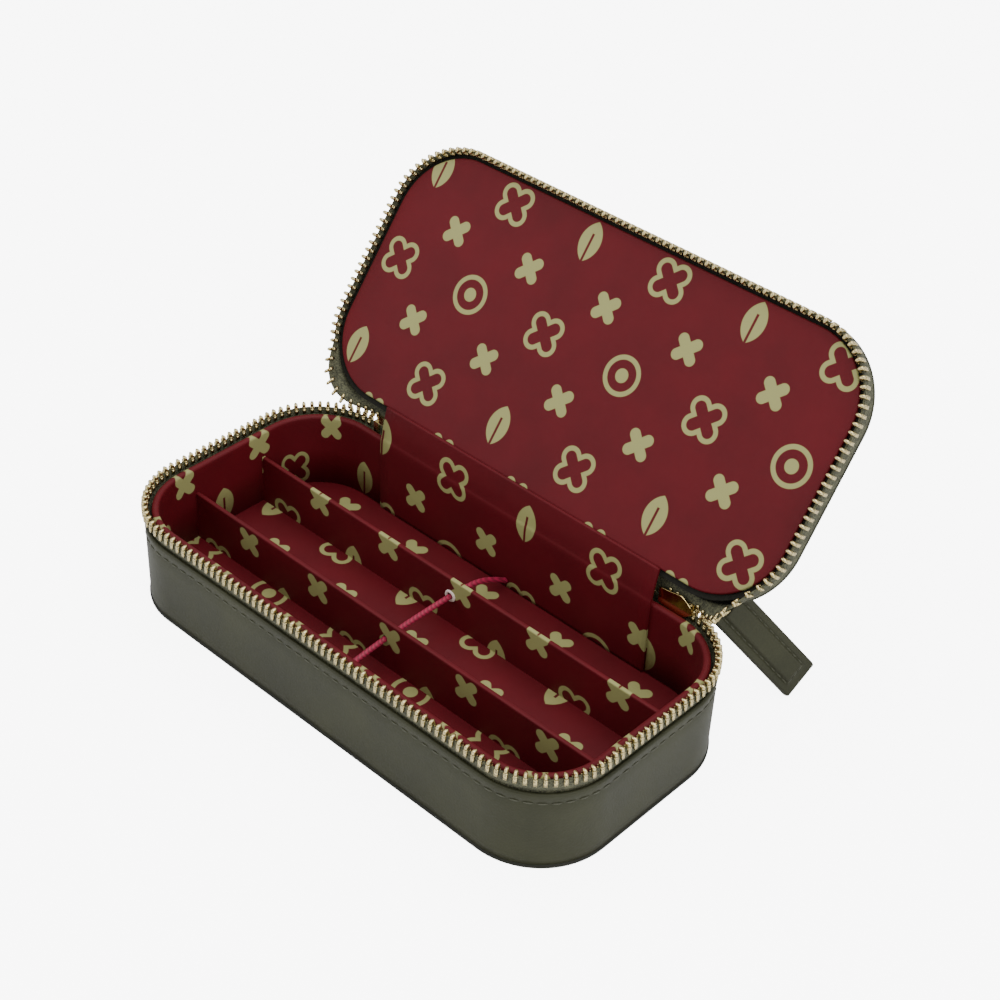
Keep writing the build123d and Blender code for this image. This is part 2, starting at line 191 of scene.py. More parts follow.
def two_tone(tree, factor, dark, light):
    """Colour between dark and light."""
    return add(tree, "Mix", {"Factor": factor, "A": dark, "B": light}, data_type="RGBA").outputs["Result"]


def new_group(name, tree, inputs, outputs):
    """Node group with the given sockets, then its input and output nodes."""
    g = bpy.data.node_groups.new(name, tree)
    for way, sockets in (("INPUT", inputs), ("OUTPUT", outputs)):
        for label, kind in sockets.items():
            g.interface.new_socket(label, in_out=way, socket_type="NodeSocket" + kind)
    return g, g.nodes.new("NodeGroupInput").outputs, g.nodes.new("NodeGroupOutput")


def new_material(name):
    """Material, its tree and its shader."""
    m = bpy.data.materials.new(name)
    m.use_nodes = True
    return m, m.node_tree, m.node_tree.nodes["Principled BSDF"]


def speckled(name, dark, light, rough, values, kind="TexNoise", relief=0.0, specular=0.5, **settings):
    """Material that wanders between two colours; relief is the height of its bumps."""
    m, nt, bsdf = new_material(name)
    spots = texture(nt, kind, values, **settings).outputs["Fac"]
    feed(nt, bsdf, {"Base Color": two_tone(nt, spots, (*dark, 1), (*light, 1)),
                    "Roughness": rough, "Specular IOR Level": specular})
    if relief:
        bump = add(nt, "Bump", {"Distance": relief, "Height": spots})
        feed(nt, bsdf, {"Normal": bump.outputs["Normal"]})
    return m


def grain_group():
    """Leather: pebbled grain with fine pores and broad mottling."""
    g, i, o = new_group("leather_grain", "ShaderNodeTree",
                        {"Scale": "Float", "Dark": "Color", "Light": "Color",
                         "Strength": "Float", "Gloss": "Float"},
                        {"Color": "Color", "Roughness": "Float", "Normal": "Vector"})
    cell = texture(g, "TexVoronoi", {"Scale": i["Scale"], "Smoothness": 0.7}, feature="SMOOTH_F1")
    fine = texture(g, "TexNoise", {"Scale": 5200, "Detail": 4})
    broad = texture(g, "TexNoise", {"Scale": 45, "Detail": 5}).outputs["Fac"]
    ramp = add(g, "MapRange", {"Value": broad, "From Min": 0.35, "From Max": 0.7})
    height = add(g, "Math", {0: fine.outputs["Fac"], 1: 0.35, 2: cell.outputs["Distance"]},
                 operation="MULTIPLY_ADD")
    bump = add(g, "Bump", {"Distance": 0.00012, "Height": height.outputs[0], "Strength": i["Strength"]})
    rough = add(g, "Math", {0: broad, 1: 0.18, 2: i["Gloss"]}, operation="MULTIPLY_ADD")
    feed(g, o, {"Color": two_tone(g, ramp.outputs["Result"], i["Dark"], i["Light"]),
                "Normal": bump.outputs["Normal"], "Roughness": rough.outputs[0]})
    return g


leather_grain = grain_group()


def leather_material(name, dark, light, gloss):
    m, nt, bsdf = new_material(name)
    g = add(nt, "Group", {}, node_tree=leather_grain)
    feed(nt, g, {"Scale": 1500, "Dark": (*dark, 1), "Light": (*light, 1), "Strength": 0.35, "Gloss": gloss})
    feed(nt, bsdf, {"Base Color": g.outputs["Color"], "Roughness": g.outputs["Roughness"],
                    "Normal": g.outputs["Normal"], "Specular IOR Level": 0.25})
    return m


olive_calf = leather_material("olive_calf", (0.0245, 0.0255, 0.0110), (0.0390, 0.0402, 0.0185), 0.40)
dark_calf = leather_material("dark_calf", (0.008, 0.0085, 0.0045), (0.013, 0.0135, 0.0075), 0.45)

wall_top = wall_high[2]
stitch_z = wall_top - 3.3 * mm
fold = [(w_in + leather, wall_low[2]), (w_in, wall_low[2] + 0.02 * mm), (w_in, wall_low[2] + 2 * mm)]
fold += [(w_in + d * mm, stitch_z + h * mm) for d, h in
         ((0.0, -9.0), (0.0, -4.0), (0.02, -1.2), (0.22, -0.25), (0.22, 0.25), (0.02, 1.0), (-0.06, 1.8))]
fold += [(w_in + leather / 2 - (leather / 2 + 0.04 * mm) * cos(a), wall_top - 0.75 * mm + 0.75 * mm * sin(a))
         for a in [radians(k) for k in range(0, 181, 20)]]
fold += [(w_in + leather, stitch_z), (w_in + leather, wall_low[2] + 5 * mm)]
base_wall = ring_sweep("base_wall_leather", fold)
base_wall.data.materials.append(olive_calf)
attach(base_wall, "case")
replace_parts(base_wall, "base_outer_wall")
dress(dark_calf, "base_bottom_panel")

# ---------------------------------------------------------------------------
# Stitches: waxed olive thread, one short dash after another, sunk in a groove
# round the wall.  One tree lays a dash on every point it is given.


def lay_tree():
    """Puts a copy of Item on every point of the mesh, turned by the point's own 'turn' angles."""
    t, i, o = new_group("lay_items", "GeometryNodeTree",
                        {"Geometry": "Geometry", "Item": "Object", "Finish": "Material", "Size": "Float"},
                        {"Geometry": "Geometry"})
    info = add(t, "GeometryNodeObjectInfo", {"Object": i["Item"]})
    turn = add(t, "GeometryNodeInputNamedAttribute", {"Name": "turn"}, data_type="FLOAT_VECTOR")
    euler = add(t, "FunctionNodeEulerToRotation", {0: turn.outputs["Attribute"]})
    copies = add(t, "GeometryNodeInstanceOnPoints",
                 {"Points": i["Geometry"], "Instance": info.outputs["Geometry"],
                  "Rotation": euler.outputs[0], "Scale": i["Size"]})
    real = add(t, "GeometryNodeRealizeInstances", {"Geometry": copies.outputs["Instances"]})
    finish = add(t, "GeometryNodeSetMaterial",
                 {"Geometry": real.outputs["Geometry"], "Material": i["Finish"]})
    feed(t, o, {"Geometry": finish.outputs["Geometry"]})
    return t


lay_items = lay_tree()


def lay(name, item, places, finish, size=1.0):
    """places is a list of (point, x direction, z direction); returns one plain mesh of all the copies."""
    mesh = bpy.data.meshes.new(name + "_points")
    mesh.from_pydata([tuple(p) for p, _, _ in places], [], [])
    turn = mesh.attributes.new("turn", "FLOAT_VECTOR", "POINT")
    for k, (_, x, z) in enumerate(places):
        x, z = x.normalized(), z.normalized()
        y = z.cross(x).normalized()
        z = x.cross(y)
        turn.data[k].vector = Matrix((x, y, z)).transposed().to_euler()
    obj = new_object(name, mesh)
    mod = obj.modifiers.new("lay", "NODES")
    mod.node_group = lay_items
    sockets = {s.name: s.identifier for s in lay_items.interface.items_tree if s.in_out == "INPUT"}
    for socket, value in (("Item", item), ("Finish", finish), ("Size", size)):
        mod[sockets[socket]] = value
    plain = evaluated(obj)
    obj.modifiers.remove(mod)
    obj.data = plain
    plain.name = name
    plain.materials.clear()
    plain.materials.append(finish)
    plain.polygons.foreach_set("use_smooth", [True] * len(plain.polygons))
    return obj


def pill(name, length, width, height, rings=5, sides=8):
    """Small thread dash lying along X, its ends dipping down."""
    points, faces = [], []
    for i in range(rings):
        u = -1 + 2 * i / (rings - 1)
        r = 1 - 0.82 * abs(u) ** 3
        for j in range(sides):
            a = 2 * pi * j / sides
            dip = abs(u) ** 2 * height * 0.35
            points.append((u * length / 2, cos(a) * r * width / 2, sin(a) * r * height / 2 - dip))
    for i in range(rings - 1):
        for j in range(sides):
            k = (j + 1) % sides
            faces.append((i * sides + j, i * sides + k, (i + 1) * sides + k, (i + 1) * sides + j))
    faces.append(tuple(range(sides - 1, -1, -1)))
    faces.append(tuple((rings - 1) * sides + j for j in range(sides)))
    return mesh_object(name, points, faces)


olive_thread = speckled("olive_thread", (0.030, 0.031, 0.016), (0.075, 0.077, 0.045), 0.6, {"Scale": 4200},
                        relief=0.0001)
dash = pill("thread_dash", 2.9 * mm, 0.55 * mm, 0.42 * mm)
stitch_pitch = 3.9 * mm
count = round(girth / stitch_pitch)


def stitch_line(inset, z):
    """Place and outward direction of every stitch round the outline."""
    for k in range(count):
        p, n = outline_point(-girth / 2 + girth * (k + 0.5) / count, inset)
        p.z = z
        yield p, n


places = [(p, n.cross(upward), n) for p, n in stitch_line(w_in + 0.08 * mm, stitch_z)]
wall_stitches = lay("base_wall_stitches", dash, places, olive_thread)
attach(wall_stitches, "case")

# ---------------------------------------------------------------------------
# Printed lining cloth: burgundy satin with a khaki print of rounded crosses,
# open four-lobed rings, leaves and dotted rings on a square lattice.


class Field:
    """A number that changes over the surface, written as a sum of math nodes."""

    def __init__(self, tree, socket):
        self.tree, self.socket = tree, socket

    def _do(self, operation, *others):
        node = self.tree.nodes.new("ShaderNodeMath")
        node.operation = operation
        for k, v in enumerate((self, *others)):
            if isinstance(v, Field):
                self.tree.links.new(v.socket, node.inputs[k])
            else:
                node.inputs[k].default_value = v
        return Field(self.tree, node.outputs[0])

    def __add__(self, o):
        return self._do("ADD", o)

    def __sub__(self, o):
        return self._do("SUBTRACT", o)

    def __mul__(self, o):
        return self._do("MULTIPLY", o)

    def __truediv__(self, o):
        return self._do("DIVIDE", o)

    def abs(self):
        return self._do("ABSOLUTE")

    def floor(self):
        return self._do("FLOOR")

    def low(self, o):
        return self._do("MINIMUM", o)

    def high(self, o):
        return self._do("MAXIMUM", o)

    def over(self, o):
        return self._do("GREATER_THAN", o)

    def fold(self, size):
        """Distance to the middle of the cell this point is in, and the cell's number."""
        cell = (self / size + 0.5).floor()
        return self - cell * size, cell

    def odd(self):
        half = self * 0.5
        return (half - half.floor()).over(0.25)

    def length(self, o):
        return (self * self + o * o)._do("POWER", 0.5)

    def pick(self, yes, no):
        return yes * self + no * (self * -1.0 + 1.0)


def print_group():
    """Mask of the print: 1 on ink, from pattern coordinates in metres."""
    g, i, o = new_group("lining_print", "ShaderNodeTree", {"U": "Float", "V": "Float", "Pitch": "Float"},
                        {"Ink": "Float"})
    cell = 31.0                                                  # millimetres of the print
    pitch = Field(g, i["Pitch"])
    u, v = Field(g, i["U"]) / pitch * cell, Field(g, i["V"]) / pitch * cell
    k = 0.70711
    # solid crosses at half steps: two round-ended bars along the diagonals
    x, _ = (u + cell / 2).fold(cell)
    y, _ = (v + cell / 2).fold(cell)
    a, b = ((x + y) * k).abs(), ((x - y) * k).abs()
    bar_a = (a - 3.5).high(0.0).length(b)
    bar_b = (b - 3.5).high(0.0).length(a)
    cross = bar_a.low(bar_b) - 1.75
    # symbols at whole steps
    x, col = u.fold(cell)
    y, row = v.fold(cell)
    a, b = ((x + y) * k).abs(), ((x - y) * k).abs()
    lobe = (a - 4.0).high(0.0).length(b).low((b - 4.0).high(0.0).length(a)) - 2.6
    ring = lobe.abs() - 0.75                                     # open four-lobed ring
    leaf = (x - 3.6).length(y).high((x + 3.6).length(y)) - 7.4   # pointed leaf: the part two discs share
    vein = (x.abs() - 0.42).high(y - 2.6)
    leaf = leaf.high(vein * -1.0)
    dot = ((x.length(y) - 5.6).abs() - 0.75).low(x.length(y) - 2.2)
    same = (col + row).odd() * -1.0 + 1.0                        # 1 where leaf or dotted ring stands
    filled = row.odd().pick(dot, leaf)
    symbol = same.pick(filled, ring)
    edge = cross.low(symbol)
    ink = (edge * -4.0 + 0.5).high(0.0).low(1.0)
    feed(g, o, {"Ink": ink.socket})
    return g


lining_print = print_group()


def cloth_group():
    """Fine satin weave: height, and slight colour change from thread to thread: random mottle plus a painted
    sheen that lightens each thread's crown.
    """
    g, i, o = new_group("satin_weave", "ShaderNodeTree", {"U": "Float", "V": "Float", "Thread": "Float"},
                        {"Mottle_and_sheen": "Float", "Height": "Float"})
    t = Field(g, i["Thread"])
    x, ci = (Field(g, i["U"]) / t).fold(1.0)
    y, cj = (Field(g, i["V"]) / t).fold(1.0)
    height = (ci + cj).odd().pick(x * x * -4.0 + 1.0, y * y * -4.0 + 1.0)
    mottle = texture(g, "TexNoise", {"Scale": 60, "Detail": 6})
    # random mottle, plus painted sheen: lighter where the thread's crown stands highest (height * 0.12)
    mottle_and_sheen = Field(g, mottle.outputs["Fac"]) * 0.75 + height * 0.12
    feed(g, o, {"Mottle_and_sheen": mottle_and_sheen.socket, "Height": height.socket})
    return g


satin_weave = cloth_group()
print_pitch = 31 * mm


def lining_material(name, across, up, start, uv=False):
    """across and up are the print's directions in the object's frame, start the middle of a symbol."""
    m, nt, bsdf = new_material(name)
    where = add(nt, "TexCoord", {}).outputs["UV" if uv else "Object"]
    place = add(nt, "VectorMath", {0: where, 1: start}, operation="SUBTRACT").outputs[0]
    u, v = [add(nt, "VectorMath", {0: place, 1: direction}, operation="DOT_PRODUCT").outputs["Value"]
            for direction in (across, up)]
    weave = add(nt, "Group", {}, node_tree=satin_weave)
    feed(nt, weave, {"U": u, "V": v, "Thread": 0.24 * mm})
    ink = add(nt, "Group", {}, node_tree=lining_print)
    feed(nt, ink, {"U": u, "V": v, "Pitch": print_pitch})
    # cloth colour follows the random mottle and the painted sheen on the thread crowns
    cloth = two_tone(nt, weave.outputs["Mottle_and_sheen"], (0.060, 0.0012, 0.0034, 1), (0.132, 0.0030, 0.0082, 1))
    bump = add(nt, "Bump", {"Distance": 0.00004, "Strength": 0.5, "Height": weave.outputs["Height"]})
    feed(nt, bsdf, {"Base Color": two_tone(nt, ink.outputs["Ink"], cloth, (0.30, 0.295, 0.115, 1)),
                    "Normal": bump.outputs["Normal"], "Roughness": 0.6, "Specular IOR Level": 0.22})
    return m


# ---------------------------------------------------------------------------
# Lining of the base: cloth over board, wrapped up the walls and over a padded
# lip that stands inside the zip.  The floor is a separate covered board.
lip_low, lip_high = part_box("base_lining_wall")
floor_low, floor_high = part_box("base_lining_floor")
inner_x, inner_y = floor_high[0], floor_high[1]
lip_in, lip_out = half_l - inner_x, half_l - lip_high[0]
lip_top = lip_high[2]
mid, reach = (lip_in + lip_out) / 2, (lip_in - lip_out) / 2
lip_r, lip_step, cover = 0.95 * mm, lip_top - 1.9 * mm, 1.15 * mm
lip = [(lip_in, lip_low[2]), (lip_in - cover, lip_low[2]), (lip_in - cover, lip_step), (lip_out, lip_step)]
lip += [(mid - reach * cos(radians(a)), lip_top - lip_r + lip_r * sin(radians(a))) for a in range(0, 181, 15)]
lip += [(lip_in, z) for z in (lip_top - 2.2 * mm, lip_top - 6 * mm, lip_top - 13 * mm)]
lining_wall = ring_sweep("lining_wall", lip[::-1])
wall_cloth = lining_material("lining_wall_cloth", (1, 0, 0), (0, 1, 0), (-119.6 * mm, 12.9 * mm, 0), uv=True)
lining_wall.data.materials.append(wall_cloth)
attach(lining_wall, "case")
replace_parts(lining_wall, "base_lining_wall")

floor_cloth = lining_material("floor_cloth", (1, 0, 0), (0, -1, 0), (-17.5 * mm, 13.9 * mm, 0))
dress(floor_cloth, "base_lining_floor")
for node_name, start in (("front_divider", (17.5 * mm, 0, 2.5 * mm)),
                         ("rear_divider", (19.6 * mm, 0, 4.9 * mm))):
    dress(lining_material(node_name + "_cloth", (1, 0, 0), (0, 0, 1), start), node_name)

# Core boards get a near-black colour: where they show in the gap between the lid lining and the zip, it is
# painted shade.
board_painted_shade = speckled("board_painted_shade", (0.010, 0.010, 0.008), (0.022, 0.021, 0.017), 0.9, {"Scale": 900},
                       specular=0.1)
dress(board_painted_shade, "base_core_wall", "base_floor_board", "lid_core_board")

# ---------------------------------------------------------------------------
# Elastic: a round braided cord, pulled through both dividers and down to the
# rear wall, with a small moulded eyelet where it leaves the rear divider.
tube_low, tube_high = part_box("elastic_cord")
cord_d = tube_high[0] - tube_low[0]
front_y, back_y = tube_low[1], tube_high[1]
level = 16.8 * mm
route = [(0, front_y, 13.6 * mm), (0, -19.2 * mm, level), (0, 17.7 * mm, level), (0, 29.2 * mm, 14.2 * mm),
         (0, back_y, 8.4 * mm)]


def rod(name, points, radius, rings, steps=12):
    """Round rod along a smooth line from the first point to the last."""
    curve = bpy.data.curves.new(name, "CURVE")
    curve.dimensions = "3D"
    spline = curve.splines.new("NURBS")
    spline.points.add(len(points) - 1)
    for knot, where in zip(spline.points, points):
        knot.co = (*where, 1)
    spline.order_u = 3
    spline.use_endpoint_u = True
    curve.bevel_depth, curve.bevel_resolution, curve.resolution_u = radius, rings, steps
    curve.use_fill_caps = True
    return new_object(name, curve)


red_elastic = speckled("red_elastic", (0.17, 0.004, 0.022), (0.34, 0.010, 0.050), 0.6,
                       {"Scale": 420, "Distortion": 1.5}, kind="TexWave", relief=0.00008,
                       bands_direction="DIAGONAL")
elastic = rod("elastic", route, cord_d / 2, 5, 16)
elastic.data.materials.append(red_elastic)
run = sum((Vector(b) - Vector(a)).length for a, b in zip(route[:-1], route[1:]))
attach(elastic, "case")
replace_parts(elastic, "elastic_cord")

eye_low, eye_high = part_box("divider_eyelet")
eye_y, eye_z = eye_high[1], (eye_low[2] + eye_high[2]) / 2
eye_r, eye_t, eye_hole = (eye_high[0] - eye_low[0]) / 2, eye_high[1] - eye_low[1], 1.05 * mm
profile = [((eye_hole + eye_r) / 2 - (eye_r - eye_hole) / 2 * cos(radians(a)), -eye_t * sin(radians(a)))
           for a in range(20, 161, 20)]
profile = [(eye_hole, 0)] + profile + [(eye_r, 0)]
points, faces, around = [], [], 28
for k in range(around):
    t = 2 * pi * k / around
    points += [(r * cos(t), eye_y + d, eye_z + r * sin(t)) for r, d in profile]
    for j in range(len(profile)):
        n, a, b = len(profile), k * len(profile), ((k + 1) % around) * len(profile)
        faces.append((a + j, a + (j + 1) % n, b + (j + 1) % n, b + j))
eyelet = mesh_object("divider_eyelet_ring", points, faces)
pale_eyelet = speckled("pale_eyelet", (0.62, 0.50, 0.45), (0.80, 0.70, 0.64), 0.3, {"Scale": 700})
eyelet.data.materials.append(pale_eyelet)
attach(eyelet, "case")
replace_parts(eyelet, "divider_eyelet")

# ---------------------------------------------------------------------------
# Zip tape: dark olive herringbone tape, sewn between leather and board, its
# free edge standing up to carry the teeth.


def tape_material():
    m, nt, bsdf = new_material("olive_tape")
    rib = texture(nt, "TexVoronoi", {"Scale": 1900}).outputs["Distance"]
    fuzz = texture(nt, "TexNoise", {"Scale": 380, "Detail": 6}).outputs["Fac"]
    both = add(nt, "Math", {0: rib, 1: fuzz}, operation="MULTIPLY").outputs[0]
    span = add(nt, "MapRange", {"Value": both, "From Min": 0.05, "From Max": 0.42}).outputs["Result"]
    bump = add(nt, "Bump", {"Distance": 0.0002, "Strength": 0.8, "Height": rib})
    feed(nt, bsdf, {"Base Color": two_tone(nt, span, (0.016, 0.017, 0.008, 1), (0.115, 0.115, 0.062, 1)),
                    "Normal": bump.outputs["Normal"], "Roughness": 0.8})
    return m


olive_tape = tape_material()
dress(olive_tape, "base_zip_tape", "lid_zip_tape")

# ---------------------------------------------------------------------------
# Zip teeth: pale gold castings clamped on the tape edge, each with two legs
# and a domed head with a dimple that takes the next tooth.


def gold_material(name, color, rough):
    m, nt, bsdf = new_material(name)
    spots = texture(nt, "TexNoise", {"Scale": 600, "Detail": 3}).outputs["Fac"]
    shine = add(nt, "MapRange", {"Value": spots, "To Min": rough * 0.7, "To Max": rough * 1.5})
    feed(nt, bsdf, {"Base Color": two_tone(nt, spots, (*[c * 0.86 for c in color], 1), (*color, 1)),
                    "Roughness": shine.outputs["Result"], "Metallic": 1.0})
    return m


pale_gold = gold_material("pale_gold", (0.72, 0.60, 0.30), 0.24)
bright_gold = gold_material("bright_gold", (0.80, 0.62, 0.28), 0.12)

base_low, base_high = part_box("base_zip_teeth")
head_z = base_high[2]
zip_inset = half_l - (base_high[0] - 1.0 * mm)
tooth_h = head_z - base_low[2]
pitch = 2.62 * mm
mesh_depth = 0.25 * mm
close_z = head_z - mesh_depth


def tooth_object(name, h, t=1.18 * mm, w=2.0 * mm):
    """Legs down along -Z, head on top with its tip at z = 0; X along the row, Y across the tape."""
    points, faces = [], []

    def block(x0, x1, y0, y1, z0, z1):
        n = len(points)
        points.extend((x, y, z) for z in (z0, z1) for y in (y0, y1) for x in (x0, x1))
        for f in ((0, 2, 3, 1), (4, 5, 7, 6), (0, 1, 5, 4), (2, 6, 7, 3), (0, 4, 6, 2), (1, 3, 7, 5)):
            faces.append(tuple(n + k for k in f))

    neck, half_t, tape_half = -h * 0.52, t * 0.42, 0.32 * mm
    for e in (-1, 1):
        y0, y1 = sorted((e * tape_half, e * (w / 2)))
        block(-half_t, half_t, y0, y1, -h, neck)
    block(-half_t, half_t, -w / 2, w / 2, neck, neck + 0.55 * mm)
    rows, sides, first = 5, 10, len(points)
    for i in range(rows):
        u = i / (rows - 1)
        z = neck + 0.5 * mm + (-neck - 0.5 * mm) * u ** 0.6
        r = (1 - 0.72 * u ** 4) ** 0.5
        points += [(t * 0.52 * r * cos(a), w * 0.5 * (0.5 + 0.5 * r) * sin(a), z)
                   for a in [2 * pi * j / sides for j in range(sides)]]
    for i in range(rows - 1):
        for j in range(sides):
            a, b, k = first + i * sides, first + (i + 1) * sides, (j + 1) % sides
            faces.append((a + j, a + k, b + k, b + j))
    faces.append(tuple(first + j for j in range(sides))[::-1])
    faces.append(tuple(first + (rows - 1) * sides + j for j in range(sides)))
    return mesh_object(name, points, faces)


tooth = tooth_object("zip_tooth", tooth_h)
zip_r = corner - zip_inset
s_side = straight_x + zip_r * pi / 2 + 2 * straight_y
s_back = s_side + zip_r * pi / 2


def zip_point(s):
    """Point, travel and outward normal of the tooth line; s from the middle of the front."""
    p, n = rounded_point(s, zip_r, zip_r)
    return p, Vector((-n.y, n.x, 0)), n


def s_at_back(x):
    """Distance along the tooth line to the place on the back, or its corner, x from the middle."""
    if x <= straight_x:
        return s_back + straight_x - x
    return s_side + zip_r * acos((x - straight_x) / zip_r)


base_row_left, base_row_right = 64 * mm, 57 * mm
row_places = []
for k in range(-400, 400):
    s = k * pitch
    if -s_at_back(base_row_left) < s < s_at_back(base_row_right):
        p, t, n = zip_point(s)
        p.z = head_z
        row_places.append((p, t, upward))
base_teeth = lay("base_teeth", tooth, row_places, pale_gold)
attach(base_teeth, "case")
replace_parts(base_teeth, "base_zip_teeth")

# ---------------------------------------------------------------------------
# Lid: the same tooth row on a tape let into the rim of a covered board.  It is
# laid out closed and turned back about the hinge line.
lid_joint = next(j for j in frame["joints"] if j["name"] == "lid_hinge")
hinge = Vector(lid_joint["pos_m"])
open_angle = radians(lid_joint["range_deg"][1])


def turned(d, angle=None):
    """Direction after the lid has opened by angle, or all the way."""
    return Matrix.Rotation(-(open_angle if angle is None else angle), 3, "X") @ d


def opened(p, angle=None):
    return hinge + turned(p - hinge, angle)


run_start = s_side + zip_r * radians(25)
mouth_x, stop_x = 68.6 * mm, 63.2 * mm
row_places = []
for k in range(-400, 400):
    s = (k + 0.5) * pitch
    if abs(s) < run_start - 0.3 * mm:
        p, t, n = zip_point(s)
        p.z = close_z - mesh_depth
        row_places.append((opened(p), turned(t), turned(-upward)))
lid_teeth = lay("lid_teeth", tooth, row_places, pale_gold)
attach(lid_teeth, "lid")
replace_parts(lid_teeth, "lid_zip_teeth")

# ---------------------------------------------------------------------------
# Row ends: where the lid's tape leaves the rim it twists down to meet the base
# row, at the slider on the right and at the top stops on the left.


def twist(s):
    end = s_at_back(mouth_x) if s > 0 else s_at_back(stop_x)
    t = min(max((end - abs(s)) / (end - run_start), 0), 1)
    return open_angle * t * t * (3 - 2 * t)


def slab_faces(rows, cols, flip=False):
    """Faces of two grids of rows x (cols + 1) points, one behind the other, closed along their border."""
    w, back = cols + 1, rows * (cols + 1)
    faces = []
    for i in range(rows - 1):
        for j in range(cols):
            a, b = i * w + j, (i + 1) * w + j
            faces += [(a, b, b + 1, a + 1), (back + a, back + a + 1, back + b + 1, back + b)]
    border = [i * w for i in range(rows)] + [(rows - 1) * w + j for j in range(1, w)]
    border += [i * w + cols for i in range(rows - 2, -1, -1)] + list(range(cols - 1, 0, -1))
    faces += [(a, back + a, back + b, b) for a, b in zip(border, border[1:] + border[:1])]
    return [f[::-1] for f in faces] if flip else faces


rim_z, tape_half = 42.4 * mm, 0.24                            # half thickness in mm
end_head = close_z + 0.3 * mm
slider_room = (s_at_back(69.2 * mm), s_at_back(64.2 * mm))
low_from = s_at_back(57.6 * mm)              # past the right row's last tooth the tape reaches further down
steps, high = 36, 6
for label, side, teeth_to, tape_to, meets in (("right", 1, 57.0 * mm, 51.5 * mm, mouth_x),
                                              ("left", -1, 61.4 * mm, 57.2 * mm, stop_x)):
    row_places = []
    for k in range(400):
        s = (k + 0.5) * pitch
        in_slider = side > 0 and slider_room[0] < s < slider_room[1]
        if run_start - 0.3 * mm <= s < s_at_back(teeth_to) and not in_slider:
            p, t, n = zip_point(side * s)
            p.z = end_head
            angle = twist(side * s)
            row_places.append((opened(p, angle), turned(t, angle), turned(-upward, angle)))
    teeth = lay("teeth_end_" + label, tooth, row_places, pale_gold, size=0.86)
    points = []
    for face in (-1, 1):
        for i in range(steps + 1):
            s = side * (run_start - 0.4 * mm + (s_at_back(tape_to) - run_start + 0.4 * mm) * i / steps)
            p, t, n = zip_point(s)
            angle = twist(s)
            drop = -1.4 * mm if side > 0 and abs(s) > low_from else 1.6 * mm
            low = opened(Vector((p.x, p.y, end_head + drop)), angle)
            knee = opened(Vector((p.x, p.y, end_head + 3.0 * mm)), angle)
            top = opened(Vector((p.x, p.y, rim_z)))
            for j in range(high + 1):
                v = j / high
                q = low * (1 - v) ** 2 + knee * 2 * v * (1 - v) + top * v * v
                points.append(q + turned(n, angle * (1 - v) + open_angle * v) * face * tape_half * mm)
    tape = mesh_object("tape_end_" + label, points, slab_faces(steps + 1, high))
    tape.data.materials.append(olive_tape)
    a, _, _ = zip_point(side * run_start)
    b, _, _ = zip_point(side * s_at_back(meets))
    for piece, part, finish in ((teeth, "lid_teeth_end_" + label, "zip_metal"),
                                (tape, "lid_tape_end_" + label, "tape")):
        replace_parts(piece, part)
        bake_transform(piece)

# ---------------------------------------------------------------------------
# Covered board of the lid: the cloth is drawn smooth over it and glued behind;
# olive calf covers the outside and is stitched down just inside its edge.


def covered_board(name, profile, place):
    """Board with the case's outline; profile runs over the edge from one face to the other."""
    obj = ring_sweep(name, profile, place=place)
    n = len(profile)
    m = len(obj.data.vertices) // n
    points = [v.co.copy() for v in obj.data.vertices]
    faces = [tuple(f.vertices) for f in obj.data.polygons]
    faces = [f for f in faces if not {v % n for v in f} == {0, n - 1}]
    faces.append(tuple(i * n for i in range(m - 1, -1, -1)))
    faces.append(tuple(i * n + n - 1 for i in range(m)))
    bpy.data.objects.remove(obj)
    board = mesh_object(name, points, faces)
    for face in list(board.data.polygons)[-2:]:
        face.use_smooth = False
    return board


board_in = half_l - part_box("lid_lining_panel")[1][0]
cloth_z, cloth_t, edge_r = 37.94 * mm, 1.16 * mm, 0.55 * mm
edge = [(board_in + edge_r - edge_r * sin(radians(a)), cloth_z + edge_r - edge_r * cos(radians(a)))
        for a in range(0, 91, 15)]
edge = [(board_in + 2 * mm, cloth_z)] + edge
edge += [(board_in, cloth_z + cloth_t), (board_in + 2 * mm, cloth_z + cloth_t)]
lid_lining = covered_board("lid_lining", edge, opened)
lid_cloth = lining_material("lid_cloth", (1, 0, 0), turned(Vector((0, -1, 0))),
                            opened(Vector((-77.95 * mm, -33.7 * mm, cloth_z))))
lid_lining.data.materials.append(lid_cloth)
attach(lid_lining, "lid")
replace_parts(lid_lining, "lid_lining_panel")

dress(olive_calf, "lid_outer_panel")
lid_top = 44.0 * mm
spine_x, spine_y = 56 * mm, half_w - 14 * mm
places = [(opened(p), turned(n.cross(upward)), turned(upward))
          for p, n in stitch_line(3.2 * mm, lid_top + 0.02 * mm)
          if not (p.y > spine_y and abs(p.x) < spine_x)]
lid_stitches = lay("lid_stitches", dash, places, olive_thread)
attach(lid_stitches, "lid")

# ---------------------------------------------------------------------------
# Hinge: one strip of calf outside and one of printed cloth inside join base
# and lid between the ends of the zip.  Both are glued flat and bent in between, drawn with the lid open.


